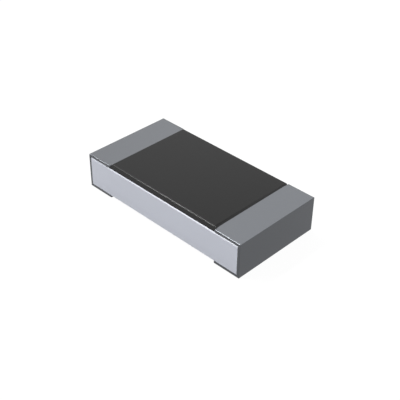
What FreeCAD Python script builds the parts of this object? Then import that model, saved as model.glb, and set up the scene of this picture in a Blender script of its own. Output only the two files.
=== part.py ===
import FreeCAD, Part
import os
import Sketcher
from FreeCAD import Vector

# Thick-film chip resistor of case size 1206 (3216 metric), all lengths in millimetres.
# The origin is the centre of the underside of the terminals, X runs along the chip and Z is up.
# Layers are laid down in the order of manufacture. A layer is its own outer form less all that
# it covers, so neighbours always meet face to face.

DRIVING_SIZES = (
    # Alumina block. It is scribed from above and snapped, which leaves bevels on its long top edges.
    ("ceramic_length", 3.11),
    ("ceramic_width", 1.60),
    ("ceramic_thickness", 0.493),
    ("scribe_bevel", 0.013),
    # Printed silver electrodes, above and below each end.
    ("electrode_thickness", 0.015),
    ("electrode_reach", 0.16),
    # Edge metal that joins an upper electrode to the lower one, with a thin turn onto both.
    ("edge_metal_wall", 0.019),
    ("edge_metal_turn", 0.008),
    ("edge_metal_lap", 0.17),
    # Plating over all bare metal. On top it grows out over the bevels.
    ("nickel_thickness", 0.010),
    ("tin_thickness", 0.016),
    ("tin_edge_radius", 0.010),
    ("plating_overhang", 0.010),
    # Solder pads, measured on the finished terminals.
    ("top_pad_length", 0.49),
    ("bottom_pad_length", 0.49),
    ("pad_corner_radius", 0.012),
    # Ruthenium oxide film, its glass coat and the laser cut through both.
    ("film_width", 1.18),
    ("film_thickness", 0.012),
    ("film_lap", 0.09),
    ("glass_thickness", 0.010),
    ("glass_margin", 0.040),
    ("kerf_width", 0.040),
    ("kerf_start", 0.36),
    ("kerf_depth", 0.60),
    ("kerf_run", 0.52),
    # Dark overcoat between the terminals, which stands a little above them.
    ("overcoat_rise", 0.022),
    ("overcoat_side_slope", 0.028),
    ("overcoat_edge_radius", 0.009),
)

# Limits for picking edges and faces by place and direction.
same_place = 1e-4      # mm, well under the thinnest layer
nearly_along = 0.9     # share of a unit vector that lies along an axis
uncut_share = 0.999    # of a film's volume, above which its trim cut has missed it

doc = FreeCAD.newDocument("chip_resistor")
sheet = doc.addObject("Spreadsheet::Sheet", "Sizes")
for row, (alias, value) in enumerate(DRIVING_SIZES, start=1):
    sheet.set(f"A{row}", alias)
    sheet.set(f"B{row}", str(value))
    sheet.setAlias(f"B{row}", alias)
doc.recompute()

# Levels and stations worked out from the sheet. Each is an expression that features are bound to.
plating = "(Sizes.nickel_thickness + Sizes.tin_thickness)"
terminal_wall = f"(Sizes.electrode_thickness + Sizes.edge_metal_turn + {plating})"
ceramic_end = "(Sizes.ceramic_length / 2)"
ceramic_side = "(Sizes.ceramic_width / 2)"
ceramic_underside = terminal_wall
ceramic_top = f"({ceramic_underside} + Sizes.ceramic_thickness)"
terminal_top = f"({ceramic_top} + {terminal_wall})"
chip_end = f"({ceramic_end} + Sizes.edge_metal_wall + {plating})"
top_pad_start = f"({chip_end} - Sizes.top_pad_length)"
bottom_pad_start = f"({chip_end} - Sizes.bottom_pad_length)"
flat_top_side = f"({ceramic_side} - Sizes.scribe_bevel)"
top_pad_side = f"({flat_top_side} + Sizes.plating_overhang)"
electrode_start = f"({top_pad_start} - Sizes.electrode_reach)"
edge_metal_start = f"({ceramic_end} - Sizes.edge_metal_lap)"
film_end = f"({electrode_start} + Sizes.film_lap)"
film_side = "(Sizes.film_width / 2)"
film_top = f"({ceramic_top} + Sizes.film_thickness)"
film_lap_top = f"({film_top} + Sizes.electrode_thickness)"
glass_end = f"({film_end} + Sizes.glass_margin)"
glass_side = f"({film_side} + Sizes.glass_margin)"
glass_top = f"({film_top} + Sizes.glass_thickness)"
glass_lap_top = f"({film_lap_top} + Sizes.glass_thickness)"
overcoat_top = f"({terminal_top} + Sizes.overcoat_rise)"


def value_of(expression):
    """Current value of an expression, in millimetres."""
    return float(sheet.evalExpression(expression))


def near(number, expression):
    return abs(number - value_of(expression)) < same_place


def new_body(label):
    body = doc.addObject("PartDesign::Body", label)
    body.Label = label
    return body


def origin_plane(body, role):
    for plane in body.Origin.OriginFeatures:
        if plane.Role == role:
            return plane
    raise RuntimeError(f"{body.Label} has no {role}")


def outline_sketch(body, name, role, points, height="0"):
    """Closed outline on a plane of the body's origin, raised along its normal by height.

    Points are pairs of expressions. A line whose ends share an expression is held upright or
    level, and what is left is dimensioned from the origin, so the sketch is fully held.
    """
    sketch = body.newObject("Sketcher::SketchObject", name)
    sketch.AttachmentSupport = [(origin_plane(body, role), "")]
    sketch.MapMode = "FlatFace"
    sketch.setExpression("AttachmentOffset.Base.z", height)
    corners = [Vector(value_of(across), value_of(along), 0) for across, along in points]
    last = len(points) - 1
    for index, corner in enumerate(corners):
        following = corners[0] if index == last else corners[index + 1]
        sketch.addGeometry(Part.LineSegment(corner, following), False)
    for index in range(len(points)):
        following = 0 if index == last else index + 1
        sketch.addConstraint(Sketcher.Constraint("Coincident", index, 2, following, 1))
    for axis, held_straight, held_apart in ((0, "Vertical", "DistanceX"), (1, "Horizontal", "DistanceY")):
        for index, point in enumerate(points):
            if index > 0 and point[axis] == points[index - 1][axis]:
                sketch.addConstraint(Sketcher.Constraint(held_straight, index - 1))
            elif index == last and point[axis] == points[0][axis]:
                sketch.addConstraint(Sketcher.Constraint(held_straight, last))
            else:
                apart = Sketcher.Constraint(held_apart, -1, 1, index, 1, corners[index][axis])
                number = sketch.addConstraint(apart)
                sketch.setExpression(f"Constraints[{number}]", point[axis])
    return sketch


def rectangle_points(left, right, low, high):
    return [(left, low), (right, low), (right, high), (left, high)]


def add_pad(body, sketch, length, both_ways=False):
    pad = body.newObject("PartDesign::Pad", f"{sketch.Name}_pad")
    pad.Profile = sketch
    pad.setExpression("Length", length)
    pad.SideType = "Symmetric" if both_ways else "One side"
    doc.recompute()
    return pad


def faces_towards(feature, test):
    """Names of the faces whose outward normal passes the test."""
    faces = enumerate(feature.Shape.Faces, start=1)
    return [f"Face{number}" for number, face in faces if test(face.normalAt(0, 0))]


def edges_where(feature, test):
    """Names of the edges whose middle and direction pass the test."""
    chosen = []
    for number, edge in enumerate(feature.Shape.Edges, start=1):
        start, end = (vertex.Point for vertex in edge.Vertexes[:2])
        if test((start + end) / 2, (end - start).normalize()):
            chosen.append(f"Edge{number}")
    return chosen


def dress_edges(body, kind, feature, edges, size_name, size):
    """Adds a Fillet or a Chamfer on the named edges and binds its size."""
    if not edges:
        raise RuntimeError(f"{body.Label}: no edge found for its {kind}")
    dressing = body.newObject(f"PartDesign::{kind}", f"{feature.Name}_{kind.lower()}")
    dressing.Base = (feature, edges)
    dressing.setExpression(size_name, size)
    doc.recompute()
    return dressing


def laid_over(label, outer_form, covered):
    """A layer: its outer form less the pieces that it was laid over."""
    joined = doc.addObject("Part::MultiFuse", f"{label}_covered")
    joined.Shapes = covered
    layer = doc.addObject("Part::Cut", label)
    layer.Base = outer_form
    layer.Tool = joined
    layer.Refine = True
    layer.Label = label
    return layer


def mirrored(label, source):
    """The same piece at the other end of the chip."""
    copy = doc.addObject("Part::Mirroring", label)
    copy.Source = source
    copy.Normal = Vector(1, 0, 0)
    copy.Label = label
    return copy


def alumina_substrate():
    body = new_body("alumina_substrate")
    points = rectangle_points(f"-{ceramic_end}", ceramic_end, f"-{ceramic_side}", ceramic_side)
    outline = outline_sketch(body, "ceramic_outline", "XY_Plane", points, ceramic_underside)
    block = add_pad(body, outline, "Sizes.ceramic_thickness")
    long_top_edges = edges_where(
        block,
        lambda middle, way: near(middle.z, ceramic_top) and abs(way.x) > nearly_along,
    )
    dress_edges(body, "Chamfer", block, long_top_edges, "Size", "Sizes.scribe_bevel")
    return body


def printed_electrode(label, start, side, underside):
    """A printed silver pad that runs to the end of the ceramic, its inner corners rounded."""
    body = new_body(label)
    points = rectangle_points(start, ceramic_end, f"-{side}", side)
    outline = outline_sketch(body, f"{label}_outline", "XY_Plane", points, underside)
    pad = add_pad(body, outline, "Sizes.electrode_thickness")
    inner_corners = edges_where(
        pad,
        lambda middle, way: near(middle.x, start) and abs(way.z) > nearly_along,
    )
    dress_edges(body, "Fillet", pad, inner_corners, "Radius", "Sizes.pad_corner_radius")
    return body


def wrapping_form(label, top_start, bottom_start, inset):
    """Outer form of a layer around the end of the chip, set in from the finished terminal.

    The end wall narrows beside the bevels of the ceramic, from its width to the top pad's. A slab
    over the top and one under the bottom run inwards from it, each to where its own pad starts,
    with rounded corners.
    """
    body = new_body(label)
    side = f"({ceramic_side} - {inset})"
    top_side = f"({top_pad_side} - {inset})"
    wall_top = f"({terminal_top} - {inset})"
    outer_end = f"({chip_end} - {inset})"
    bevel_foot = f"({ceramic_top} - Sizes.scribe_bevel)"
    wall_points = [
        (f"-{side}", inset),
        (side, inset),
        (side, bevel_foot),
        (top_side, ceramic_top),
        (top_side, wall_top),
        (f"-{top_side}", wall_top),
        (f"-{top_side}", ceramic_top),
        (f"-{side}", bevel_foot),
    ]
    wall = outline_sketch(body, f"{label}_wall", "YZ_Plane", wall_points, ceramic_end)
    add_pad(body, wall, f"{outer_end} - {ceramic_end}")
    top_points = rectangle_points(top_start, outer_end, f"-{top_side}", top_side)
    top_slab = outline_sketch(body, f"{label}_top", "XY_Plane", top_points, ceramic_top)
    add_pad(body, top_slab, f"{wall_top} - {ceramic_top}")
    bottom_points = rectangle_points(bottom_start, outer_end, f"-{side}", side)
    bottom_slab = outline_sketch(body, f"{label}_bottom", "XY_Plane", bottom_points, inset)
    slabs = add_pad(body, bottom_slab, f"{ceramic_underside} - {inset}")
    inner_corners = edges_where(
        slabs,
        lambda middle, way: abs(way.z) > nearly_along
        and (near(middle.x, top_start) or near(middle.x, bottom_start)),
    )
    dress_edges(body, "Fillet", slabs, inner_corners, "Radius", "Sizes.pad_corner_radius")
    return body


def round_outer_edges(body):
    """Rounds the outer edges of the terminal, but not those that meet the ceramic or overcoat."""
    form = body.Tip
    longer_start = max(value_of(top_pad_start), value_of(bottom_pad_start))
    past_corners = longer_start + value_of("Sizes.pad_corner_radius")
    outer_edges = edges_where(
        form,
        lambda middle, way: middle.x > past_corners
        and (near(middle.z, terminal_top) or near(middle.z, "0") or near(middle.x, chip_end)),
    )
    dress_edges(body, "Fillet", form, outer_edges, "Radius", "Sizes.tin_edge_radius")


def cut_kerf(body, label, form):
    """The laser's path: straight in from one long side, then along the film."""
    start_x = "(-Sizes.kerf_start)"
    kerf_side = f"({start_x} + Sizes.kerf_width)"
    end_x = f"({start_x} + Sizes.kerf_run)"
    outside = f"(-{glass_side} - Sizes.kerf_width)"
    inmost = f"(Sizes.kerf_depth - {film_side})"
    turn = f"({inmost} - Sizes.kerf_width)"
    points = [
        (start_x, outside),
        (kerf_side, outside),
        (kerf_side, turn),
        (end_x, turn),
        (end_x, inmost),
        (start_x, inmost),
    ]
    path = outline_sketch(body, f"{label}_kerf", "XY_Plane", points, ceramic_underside)
    kerf = body.newObject("PartDesign::Pocket", f"{label}_cut")
    kerf.Profile = path
    kerf.Type = "ThroughAll"
    kerf.Reversed = True
    doc.recompute()
    if kerf.Shape.Volume > form.Shape.Volume * uncut_share:
        raise RuntimeError(f"the trim cut of {label} takes nothing away")


def printed_film(label, end, side, thickness, middle_top, end_top):
    """Outer form of a film that lies on the ceramic and climbs onto the electrodes at its ends."""
    body = new_body(label)
    climb = f"({electrode_start} - {thickness})"
    points = [
        (f"-{end}", ceramic_top),
        (end, ceramic_top),
        (end, end_top),
        (electrode_start, end_top),
        (climb, middle_top),
        (f"-{climb}", middle_top),
        (f"-{electrode_start}", end_top),
        (f"-{end}", end_top),
    ]
    outline = outline_sketch(body, f"{label}_profile", "XZ_Plane", points)
    form = add_pad(body, outline, f"2 * {side}", both_ways=True)
    cut_kerf(body, label, form)
    return body


def overcoat_form():
    """Dark overcoat as printed and cured. Its long sides slope, its ends stand upright where the
    plating grew against them and are bevelled above that, and its rim is rounded."""
    body = new_body("overcoat_form")
    points = rectangle_points(f"-{top_pad_start}", top_pad_start, f"-{flat_top_side}", flat_top_side)
    foot = outline_sketch(body, "overcoat_foot", "XY_Plane", points, ceramic_top)
    coat_height = f"({overcoat_top} - {ceramic_top})"
    block = add_pad(body, foot, coat_height)
    sloped = body.newObject("PartDesign::Draft", "overcoat_sides")
    sloped.Base = (block, faces_towards(block, lambda normal: abs(normal.y) > nearly_along))
    sloped.NeutralPlane = (block, faces_towards(block, lambda normal: normal.z < -nearly_along))
    sloped.setExpression("Angle", f"atan(Sizes.overcoat_side_slope / {coat_height})")
    doc.recompute()
    end_edges = edges_where(
        sloped,
        lambda middle, way: near(middle.z, overcoat_top) and abs(way.y) > nearly_along,
    )
    bevelled = dress_edges(body, "Chamfer", sloped, end_edges, "Size", "Sizes.overcoat_rise")
    rim = edges_where(bevelled, lambda middle, way: near(middle.z, overcoat_top))
    dress_edges(body, "Fillet", bevelled, rim, "Radius", "Sizes.overcoat_edge_radius")
    return body


substrate = alumina_substrate()

top_electrode = printed_electrode(
    "top_electrode_right", electrode_start, f"({top_pad_side} - {plating})", ceramic_top)
bottom_electrode = printed_electrode(
    "bottom_electrode_right",
    f"({bottom_pad_start} + {plating})",
    f"({ceramic_side} - {plating})",
    f"({ceramic_underside} - Sizes.electrode_thickness)",
)
top_electrode_left = mirrored("top_electrode_left", top_electrode)
top_electrodes = [top_electrode, top_electrode_left]

film_form = printed_film(
    "film_form", film_end, film_side, "Sizes.film_thickness", film_top, film_lap_top)
film = laid_over("resistive_film", film_form, top_electrodes)
glass_form = printed_film(
    "glass_form", glass_end, glass_side, "(Sizes.film_thickness + Sizes.glass_thickness)",
    glass_top, glass_lap_top)
glass = laid_over("glass_passivation", glass_form, [*top_electrodes, film])
overcoat = laid_over("protective_overcoat", overcoat_form(), [*top_electrodes, film, glass])

edge_metal_form = wrapping_form("edge_metal_form", edge_metal_start, edge_metal_start, plating)
end_electrode = laid_over(
    "end_electrode_right", edge_metal_form, [top_electrode, bottom_electrode])
nickel_form = wrapping_form(
    "nickel_form", top_pad_start, f"({bottom_pad_start} + Sizes.tin_thickness)", "Sizes.tin_thickness")
bare_metal = [top_electrode, bottom_electrode, end_electrode]
nickel = laid_over("nickel_barrier_right", nickel_form, bare_metal)
tin_form = wrapping_form("tin_form", top_pad_start, bottom_pad_start, "0")
round_outer_edges(tin_form)
tin = laid_over("tin_plating_right", tin_form, [*bare_metal, nickel])

pieces = [
    substrate,
    *top_electrodes,
    bottom_electrode,
    mirrored("bottom_electrode_left", bottom_electrode),
    film,
    glass,
    overcoat,
    end_electrode,
    mirrored("end_electrode_left", end_electrode),
    nickel,
    mirrored("nickel_barrier_left", nickel),
    tin,
    mirrored("tin_plating_left", tin),
]
doc.recompute()

for item in doc.Objects:
    if "Invalid" in item.State or "Error" in item.State:
        raise RuntimeError(f"{item.Label} did not recompute: {item.State}")
for piece in pieces:
    if piece.Shape.isNull() or not piece.Shape.isValid() or len(piece.Shape.Solids) != 1:
        raise RuntimeError(f"{piece.Label} is not one valid solid")

os.makedirs("parts", exist_ok=True)
for piece in pieces:
    piece.Shape.exportStep(f"parts/{piece.Label}.step")
    print(f"{piece.Label}: {piece.Shape.Volume:.5f} mm3")
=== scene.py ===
import math
import bpy
import bmesh
from mathutils import Matrix, Vector


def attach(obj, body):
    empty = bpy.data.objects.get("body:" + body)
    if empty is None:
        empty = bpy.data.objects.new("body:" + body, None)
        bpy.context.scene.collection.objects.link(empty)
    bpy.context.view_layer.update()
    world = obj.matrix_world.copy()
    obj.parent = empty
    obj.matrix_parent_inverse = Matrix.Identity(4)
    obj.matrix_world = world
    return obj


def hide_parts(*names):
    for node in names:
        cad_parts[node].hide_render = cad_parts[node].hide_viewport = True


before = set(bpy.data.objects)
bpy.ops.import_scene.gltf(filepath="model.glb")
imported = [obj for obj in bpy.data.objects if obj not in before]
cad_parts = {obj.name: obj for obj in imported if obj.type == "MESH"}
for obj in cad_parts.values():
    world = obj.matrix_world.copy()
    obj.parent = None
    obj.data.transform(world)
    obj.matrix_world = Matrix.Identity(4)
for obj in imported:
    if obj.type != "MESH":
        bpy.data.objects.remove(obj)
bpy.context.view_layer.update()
print("loaded the packed chip resistor:", len(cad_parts), "nodes")

mm = 0.001  # metres in a millimetre
picturePixels = 400  # the photograph is this wide and high
filmWidth = 36  # mm, Blender's own sensor


def toLinear(hexColour):
    # sRGB hex to the linear colour that a shader takes
    channels = [int(hexColour[i:i + 2], 16) / 255 for i in (1, 3, 5)]
    return [c / 12.92 if c <= 0.04045 else ((c + 0.055) / 1.055) ** 2.4 for c in channels] + [1]


def addNode(tree, kind, settings=None, links=None):
    # settings are sockets or properties by name, links are input: (node, output)
    node = tree.nodes.new(kind)
    for name, value in (settings or {}).items():
        if isinstance(name, str) and name not in node.inputs:
            setattr(node, name, value)
        else:
            node.inputs[name].default_value = value
    for name, (source, output) in (links or {}).items():
        tree.links.new(source.outputs[output], node.inputs[name])
    return node


def newMaterial(name):
    # a material with its node tree emptied
    material = bpy.data.materials.new(name)
    material.use_nodes = True
    tree = material.node_tree
    tree.nodes.clear()
    return material, tree


# Camera. It stands where the photograph's did, found from the chip's corners in it.
cameraView = {
    "azimuth": 44.42,  # degrees from the long front side towards the right end
    "elevation": 35.63,  # degrees
    "roll": 0.635,  # degrees
    "distance": 12.85,  # mm
    "aside": (0.0379, 0.0992),  # mm right of and above the line through the origin
    "focalPixels": 830.0,
}


def directionFrom(azimuth, elevation):
    # unit vector from the chip towards something seen in that direction
    turn, rise = math.radians(azimuth), math.radians(elevation)
    level = math.cos(rise)
    return Vector((math.sin(turn) * level, -math.cos(turn) * level, math.sin(rise)))


def placeCamera(view):
    back = directionFrom(view["azimuth"], view["elevation"])
    turn, roll = math.radians(view["azimuth"]), math.radians(view["roll"])
    levelRight = Vector((math.cos(turn), math.sin(turn), 0))
    right = levelRight * math.cos(roll) + back.cross(levelRight) * math.sin(roll)
    up = back.cross(right)
    bpy.ops.object.camera_add()
    camera = bpy.context.object
    camera.name = "photoCamera"
    turned = Matrix((right, up, back)).transposed().to_4x4()
    spot = right * view["aside"][0] + up * view["aside"][1] + back * view["distance"]
    camera.matrix_world = Matrix.Translation(spot * mm) @ turned
    camera.data.lens = view["focalPixels"] * filmWidth / picturePixels
    camera.data.clip_start = 1 * mm
    camera.data.clip_end = 2  # metres, past the far edge of the floor
    bpy.context.scene.camera = camera


placeCamera(cameraView)
print("camera placed")

# Light. A tall softbox stands to the left in front and runs a highlight along the front edges, and
# another behind the chip greys the terminal tops. The world fills in.
studio = {
    "worldFill": 0.07,
    "floorWidth": 1000,  # mm
    "floorColour": "#cccccc",
    "floorGlow": 0.88,  # share of the floor's look that the shadow doesn't reach
    "floorWhite": 1.09,  # strength of its glow, of which the share above shows
    "softboxDistance": 120,  # mm, as are their sizes
    "softboxes": {
        "leftFront": {"azimuth": -69.3, "elevation": 52.6, "along": (0, -0.965, -0.26),
                      "size": (174, 9), "radiance": 46},
        "behind": {"azimuth": 174, "elevation": 46, "along": (1, 0, 0),
                   "size": (300, 102), "radiance": 1.6},
    },
}


def addSoftbox(name, box):
    # its long side runs along a direction, and its power is worked out from the radiance it shows
    bpy.ops.object.light_add(type="AREA")
    lamp = bpy.context.object
    lamp.name = name
    towards = directionFrom(box["azimuth"], box["elevation"])
    upright = towards.cross(Vector(box["along"])).normalized()
    turned = Matrix((upright.cross(towards), upright, towards)).transposed().to_4x4()
    lamp.matrix_world = Matrix.Translation(towards * studio["softboxDistance"] * mm) @ turned
    lamp.data.shape = "ELLIPSE"
    lamp.data.size, lamp.data.size_y = (length * mm for length in box["size"])
    area = math.pi / 4 * lamp.data.size * lamp.data.size_y
    lamp.data.energy = box["radiance"] * math.pi * area
    lamp.visible_camera = False


for name, box in studio["softboxes"].items():
    addSoftbox(name, box)


def shownDirectly(tree):
    # 1 for camera, glossy and transmission rays, 0 for the rays that light the chip
    path = addNode(tree, "ShaderNodeLightPath")
    either = addNode(tree, "ShaderNodeMath", {"operation": "MAXIMUM"},
                     {0: (path, "Is Camera Ray"), 1: (path, "Is Glossy Ray")})
    return addNode(tree, "ShaderNodeMath", {"operation": "MAXIMUM"},
                   {0: (either, 0), 1: (path, "Is Transmission Ray")})


def lightWorld():
    world = bpy.data.worlds.new("studioWorld")
    world.use_nodes = True
    bpy.context.scene.world = world
    tree = world.node_tree
    tree.nodes.clear()
    strength = addNode(tree, "ShaderNodeMapRange", {"To Min": studio["worldFill"], "To Max": 1.0},
                       {"Value": (shownDirectly(tree), 0)})
    sky = addNode(tree, "ShaderNodeBackground", {"Color": (1, 1, 1, 1)}, {"Strength": (strength, 0)})
    addNode(tree, "ShaderNodeOutputWorld", None, {"Surface": (sky, 0)})


def layFloor():
    bpy.ops.object.select_all(action="DESELECT")
    bpy.ops.mesh.primitive_plane_add(size=studio["floorWidth"] * mm)
    floor = bpy.context.object
    floor.name = "floor"
    material, tree = newMaterial("paleCardFloor")
    card = addNode(tree, "ShaderNodeBsdfDiffuse", {"Color": toLinear(studio["floorColour"])})
    glow = addNode(tree, "ShaderNodeEmission",
                   {"Color": (1, 1, 1, 1), "Strength": studio["floorWhite"]})
    share = addNode(tree, "ShaderNodeMath", {"operation": "MULTIPLY", 1: studio["floorGlow"]},
                    {0: (shownDirectly(tree), 0)})
    look = addNode(tree, "ShaderNodeMixShader", None, {0: (share, 0), 1: (card, 0), 2: (glow, 0)})
    addNode(tree, "ShaderNodeOutputMaterial", None, {"Surface": (look, 0)})
    floor.data.materials.append(material)


lightWorld()
layFloor()
bpy.context.scene.view_settings.view_transform = "Standard"
print("studio lit")


# Pieces are modelled at a thousand times their size, where a millimetre is one unit, because edit
# tools merge what is closer than a few micrometres, and are brought to metres once they are whole.
tiny = 1e-4  # mm, shorter than any edge of a piece
alongAxis = 0.9  # from this share of an axis on, a direction counts as along it
flatBelow = 0.1  # radians between two faces, below which their edge is no corner


def selectOnly(piece):
    bpy.ops.object.select_all(action="DESELECT")
    piece.select_set(True)
    bpy.context.view_layer.objects.active = piece


def addBlock(name, low, high):
    middle = [(a + b) / 2 for a, b in zip(low, high)]
    size = [b - a for a, b in zip(low, high)]
    bpy.ops.object.select_all(action="DESELECT")
    bpy.ops.mesh.primitive_cube_add(size=1, location=middle, scale=size)
    piece = bpy.context.object
    piece.name = name
    bpy.ops.object.transform_apply(location=True, rotation=True, scale=True)
    return piece


def pick(piece, kind, test):
    # selects each FACE, EDGE or VERT whose middle and normal, or an edge's direction, pass the
    # test, but no edge that lies within a flat
    bpy.ops.mesh.select_mode(type=kind)
    bpy.ops.mesh.select_all(action="DESELECT")
    mesh = bmesh.from_edit_mesh(piece.data)
    if kind == "FACE":
        for face in mesh.faces:
            face.select_set(test(face.calc_center_median(), face.normal))
    elif kind == "EDGE":
        for edge in mesh.edges:
            first, last = (vert.co for vert in edge.verts)
            corner = edge.calc_face_angle(0) > flatBelow
            edge.select_set(corner and test((first + last) / 2, (last - first).normalized()))
    else:
        for vert in mesh.verts:
            vert.select_set(test(vert.co, vert.normal))
    mesh.select_flush_mode()
    bmesh.update_edit_mesh(piece.data)


def cutAcross(place, way):
    # leaves both halves in place, with new edges where the plane crosses
    bpy.ops.mesh.select_all(action="SELECT")
    bpy.ops.mesh.bisect(plane_co=place, plane_no=way)


def carve(piece, cutter):
    selectOnly(piece)
    cut = piece.modifiers.new("carve", "BOOLEAN")
    cut.operation = "DIFFERENCE"
    cut.solver = "EXACT"
    cut.object = cutter
    bpy.ops.object.modifier_apply(modifier=cut.name)
    bpy.data.objects.remove(cutter)


def finishPiece(piece, material, smoothAngle=40):
    # shades rounded edges smoothly and leaves the flats flat, then brings the piece to metres
    selectOnly(piece)
    bpy.ops.object.shade_smooth_by_angle(angle=math.radians(smoothAngle))
    even = piece.modifiers.new("flatFaces", "WEIGHTED_NORMAL")
    even.keep_sharp = True
    bpy.ops.object.modifier_apply(modifier=even.name)
    bpy.ops.transform.resize(value=(mm, mm, mm), center_override=(0, 0, 0))
    bpy.ops.object.transform_apply(location=True, rotation=True, scale=True)
    piece.data.materials.clear()
    piece.data.materials.append(material)


def makeSurface(name, look):
    # fine noise, fixed to the surface, moves the tone, the roughness and a slight relief
    material, tree = newMaterial(name)
    place = addNode(tree, "ShaderNodeTexCoord")
    grain = addNode(tree, "ShaderNodeTexNoise", {"Scale": 1 / (look["grain"] * mm), "Detail": 3},
                    {"Vector": (place, "Object")})
    dark, light = (toLinear(tone) for tone in look["tones"])
    tone = addNode(tree, "ShaderNodeMix", {"data_type": "RGBA", 6: dark, 7: light}, {0: (grain, 0)})
    smoothest, roughest = look["roughness"]
    rough = addNode(tree, "ShaderNodeMapRange", {"To Min": smoothest, "To Max": roughest},
                    {"Value": (grain, 0)})
    relief = addNode(tree, "ShaderNodeBump", {"Distance": look["relief"] * mm}, {"Height": (grain, 0)})
    body = addNode(tree, "ShaderNodeBsdfPrincipled", look["body"],
                   {"Base Color": (tone, 2), "Roughness": (rough, 0), "Normal": (relief, 0)})
    addNode(tree, "ShaderNodeOutputMaterial", None, {"Surface": (body, 0)})
    return material


# Alumina, fired at 96% purity, scribed by laser and snapped: cold white, between matt and satin.
# Its grains are 4 micrometres across. They are drawn four times as coarse, which is a pixel wide.
firedAlumina = {
    "tones": ("#d4d8e5", "#d8dce8"), "roughness": (0.30, 0.34), "grain": 0.017, "relief": 0.0001,
    "body": {"IOR": 1.77, "Specular IOR Level": 0.42},
}

# Matte tin, electroplated in a barrel: its crystals, 3 to 8 micrometres across and drawn twice as
# coarse, give an even, soft grey metal that still runs a highlight along a rounded edge.
matteTinPlate = {
    "tones": ("#505256", "#545659"), "roughness": (0.27, 0.33), "grain": 0.015, "relief": 0.0001,
    "body": {"Metallic": 1.0},
}

# Epoxy overcoat, screen printed and cured. Black filler makes it even and nearly black, with a thin
# line of light on its rim. The filler's grains are drawn four times as coarse as they are.
curedEpoxyOvercoat = {
    "tones": ("#1f1f1f", "#222222"), "roughness": (0.2, 0.25), "grain": 0.02, "relief": 0.00002,
    "body": {"IOR": 1.55},
    "matt": 0.05,  # specular level of the filled top
    # where the edges start and are full, in mm from the middle, and their specular level there
    "edges": {"X": (1.088, 1.094, 0.12), "Y": (0.744, 0.750, 0.26)},
}


def glossEdges(material, look):
    # resin draws to the edges of the print, down its slopes, so they are glossier than the top
    tree = material.node_tree
    body = next(node for node in tree.nodes if node.type == "BSDF_PRINCIPLED")
    place = addNode(tree, "ShaderNodeTexCoord")
    parts = addNode(tree, "ShaderNodeSeparateXYZ", None, {0: (place, "Object")})
    levels = []
    for axis, (start, full, level) in look["edges"].items():
        outwards = addNode(tree, "ShaderNodeMath", {"operation": "ABSOLUTE"}, {0: (parts, axis)})
        span = {"From Min": start * mm, "From Max": full * mm, "To Min": look["matt"], "To Max": level}
        levels.append(addNode(tree, "ShaderNodeMapRange", span, {"Value": (outwards, 0)}))
    higher = addNode(tree, "ShaderNodeMath", {"operation": "MAXIMUM"},
                     {0: (levels[0], 0), 1: (levels[1], 0)})
    tree.links.new(higher.outputs[0], body.inputs["Specular IOR Level"])
    return material


# What lies underneath. Nickel is plated and fine-grained, a little yellow. Edge metal is sputtered
# nickel chrome, a dull grey. Silver is printed with glass in it and fired, pale and matt. The film is
# fired ruthenium oxide, sooty black, and glass over it is a glossy green glaze.
platedNickel = {
    "tones": ("#c4c0b6", "#cdc9c0"), "roughness": (0.25, 0.32), "grain": 0.01, "relief": 0.0001,
    "body": {"Metallic": 1.0},
}
sputteredEdgeMetal = {
    "tones": ("#b5b3b1", "#bebcba"), "roughness": (0.4, 0.48), "grain": 0.01, "relief": 0.0001,
    "body": {"Metallic": 1.0},
}
firedSilverPrint = {
    "tones": ("#dddcd7", "#e6e5e1"), "roughness": (0.45, 0.55), "grain": 0.02, "relief": 0.0005,
    "body": {"Metallic": 1.0},
}
firedOxideFilm = {
    "tones": ("#35353a", "#3b3b40"), "roughness": (0.6, 0.7), "grain": 0.02, "relief": 0.0005,
    "body": {"IOR": 1.6},
}
firedGlassGlaze = {
    "tones": ("#788b7e", "#809486"), "roughness": (0.06, 0.1), "grain": 0.05, "relief": 0.0001,
    "body": {"IOR": 1.6},
}


# Terminals. Tin wraps the end of the chip: over the top, down the end and under the bottom.
terminal = {
    "end": 1.600, "side": 0.800, "top": 0.591,  # mm, the finished outside
    "padStart": 1.110,  # where the pads end, towards the chip's middle
    # the top pad starts narrow, over the ceramic's bevels, and leans out up to leanTop
    "rootSide": 0.790, "padSide": 0.797, "leanTop": 0.570,
    "cornerStrip": 0.015,  # beside the end face the sides are upright all the way
    "ceramicEnd": 1.555, "ceramicFoot": 0.049, "ceramicTop": 0.542,
    "scribeBevel": 0.013,
    "tinThickness": 0.016,
    # roundings at the pads' corners, beside the top, beside the foot and around the end: each is
    # smaller than the one before it where they meet
    "padCorner": 0.018, "topRim": 0.015, "footRim": 0.008, "endRim": 0.006, "rimSteps": 5,
}


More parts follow.
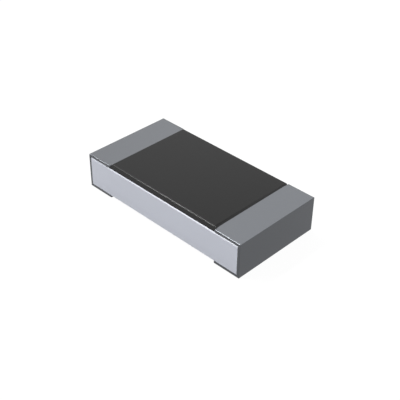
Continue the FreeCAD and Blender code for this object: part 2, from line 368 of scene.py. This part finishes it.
def wrapForm(name, size, inset, intoCeramic):
    # the C that a layer's outside makes round the end, set in from the finished terminal
    side, padSide, root = (size[width] - inset for width in ("side", "padSide", "rootSide"))
    ceramicTop = size["ceramicTop"]
    bevelFoot = ceramicTop - size["scribeBevel"]
    foot, top = size["ceramicFoot"] + intoCeramic, ceramicTop - intoCeramic
    inner, end = size["ceramicEnd"] - intoCeramic, size["end"] - inset
    piece = addBlock(name, (inner, -side, inset), (end, side, size["top"] - inset))
    bpy.ops.object.mode_set(mode="EDIT")
    for level in sorted({foot, top, bevelFoot, ceramicTop, size["leanTop"]}):
        cutAcross((0, 0, level), (0, 0, 1))
    cutAcross((end - size["cornerStrip"], 0, 0), (1, 0, 0))
    # the pads run inwards from the end wall, over the top and under the bottom
    topPad, bottomPad = size["padStart"] - intoCeramic, size["padStart"] + inset
    for start, low, high in ((topPad, top, size["top"]), (bottomPad, 0, foot)):
        pick(piece, "FACE", lambda middle, normal: normal.x < -alongAxis and low < middle.z < high)
        bpy.ops.mesh.extrude_region_move(TRANSFORM_OT_translate={"value": (start - inner, 0, 0)})
    # the top pad is narrower than the end wall, and narrower still where it leaves the ceramic
    pick(piece, "VERT", lambda place, normal: place.z > ceramicTop - tiny and place.x < inner + tiny)
    bpy.ops.transform.resize(value=(1, padSide / side, 1), center_override=(0, 0, 0))
    pick(piece, "VERT", lambda place, normal:
         abs(place.z - ceramicTop) < tiny and place.x < inner + tiny)
    bpy.ops.transform.resize(value=(1, root / padSide, 1), center_override=(0, 0, 0))
    pick(piece, "EDGE", lambda middle, way: abs(way.z) > alongAxis and middle.x < bottomPad + tiny)
    bpy.ops.mesh.bevel(offset=size["padCorner"], segments=size["rimSteps"], affect="EDGES")
    bpy.ops.object.mode_set(mode="OBJECT")
    return piece


def buildTerminal(size, material):
    piece = wrapForm("tinTerminalRight", size, 0, 0)
    bpy.ops.object.mode_set(mode="EDIT")

    def alongTop(middle, way):
        betweenEnds = size["padStart"] + tiny < middle.x < size["end"] - tiny
        return betweenEnds and middle.z > size["top"] - tiny

    def alongFoot(middle, way):
        return middle.z < tiny and middle.x < size["end"] - tiny

    def aroundEnd(middle, way):
        return middle.x > size["end"] - tiny

    for edges, rim in ((alongTop, "topRim"), (alongFoot, "footRim"), (aroundEnd, "endRim")):
        pick(piece, "EDGE", edges)
        bpy.ops.mesh.bevel(offset=size[rim], segments=size["rimSteps"], affect="EDGES",
                           clamp_overlap=False)
    bpy.ops.object.mode_set(mode="OBJECT")
    carve(piece, wrapForm("nickelPlace", size, size["tinThickness"], size["scribeBevel"]))
    bpy.ops.object.mode_set(mode="EDIT")
    bpy.ops.mesh.select_all(action="SELECT")
    bpy.ops.mesh.remove_doubles(threshold=tiny)
    bpy.ops.mesh.quads_convert_to_tris()  # so that both ends have the same triangles
    bpy.ops.object.mode_set(mode="OBJECT")
    bpy.ops.object.duplicate()
    other = bpy.context.object
    other.name = "tinTerminalLeft"
    bpy.ops.transform.resize(value=(-1, 1, 1), center_override=(0, 0, 0))
    bpy.ops.object.transform_apply(location=True, rotation=True, scale=True)
    bpy.ops.object.mode_set(mode="EDIT")
    bpy.ops.mesh.select_all(action="SELECT")
    bpy.ops.mesh.remove_doubles(threshold=tiny)
    bpy.ops.mesh.normals_make_consistent(inside=False)
    bpy.ops.object.mode_set(mode="OBJECT")
    for made, node in ((piece, "tin_plating_right"), (other, "tin_plating_left")):
        finishPiece(made, material)
        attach(made, "root")
        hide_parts(node)


# Overcoat. It was printed over the film and its glass, so it is hollow underneath.
overcoat = {
    "end": 1.110, "side": 0.787, "foot": 0.542, "top": 0.613,
    "sideSlope": 0.028,  # how far the long sides lean in
    "rise": 0.022,  # height above the terminals, where its ends are bevelled
    "rim": 0.012, "rimSteps": 8,
    # what it covers in the middle and at its right end: from and to along the chip, side, top
    "covered": ((-0.950, 0.950, 0.630, 0.564), (0.930, 1.080, 0.630, 0.579),
                (0.950, 1.120, 0.771, 0.557)),
    "cutDepth": 0.02,  # below the ceramic's top, so that the cutters come out clean
}


def buildOvercoat(size, material):
    piece = addBlock("overcoatPrint", (-size["end"], -size["side"], size["foot"]),
                     (size["end"], size["side"], size["top"]))
    bpy.ops.object.mode_set(mode="EDIT")
    pick(piece, "VERT", lambda place, normal: place.z > size["top"] - tiny)
    leanIn = 1 - size["sideSlope"] / size["side"]
    bpy.ops.transform.resize(value=(1, leanIn, 1), center_override=(0, 0, 0))
    pick(piece, "EDGE", lambda middle, way:
         middle.z > size["top"] - tiny and abs(way.y) > alongAxis)
    bpy.ops.mesh.bevel(offset=size["rise"], segments=1, affect="EDGES")
    pick(piece, "EDGE", lambda middle, way: middle.z > size["top"] - tiny)
    bpy.ops.mesh.bevel(offset=size["rim"], segments=size["rimSteps"], affect="EDGES")
    bpy.ops.object.mode_set(mode="OBJECT")
    below = size["foot"] - size["cutDepth"]
    for start, stop, side, top in size["covered"]:
        carve(piece, addBlock("covered", (start, -side, below), (stop, side, top)))
        if start > 0:  # what lies to the right has its like on the left
            carve(piece, addBlock("coveredLeft", (-stop, -side, below), (-start, side, top)))
    finishPiece(piece, material)
    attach(piece, "root")
    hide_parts("protective_overcoat")


def dress(node, material):
    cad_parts[node].data.materials.clear()
    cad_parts[node].data.materials.append(material)


hidden = {
    "nickel_barrier": makeSurface("platedNickel", platedNickel),
    "end_electrode": makeSurface("sputteredEdgeMetal", sputteredEdgeMetal),
    "top_electrode": makeSurface("firedSilverPrint", firedSilverPrint),
}
hidden["bottom_electrode"] = hidden["top_electrode"]
for layer, material in hidden.items():
    dress(layer + "_left", material)
    dress(layer + "_right", material)
dress("resistive_film", makeSurface("firedOxideFilm", firedOxideFilm))
dress("glass_passivation", makeSurface("firedGlassGlaze", firedGlassGlaze))
dress("alumina_substrate", makeSurface("firedAlumina", firedAlumina))
print("ceramic and inner layers dressed")
buildTerminal(terminal, makeSurface("matteTinPlate", matteTinPlate))
print("terminals plated")
epoxy = makeSurface("curedEpoxyOvercoat", curedEpoxyOvercoat)
buildOvercoat(overcoat, glossEdges(epoxy, curedEpoxyOvercoat))
print("overcoat printed")
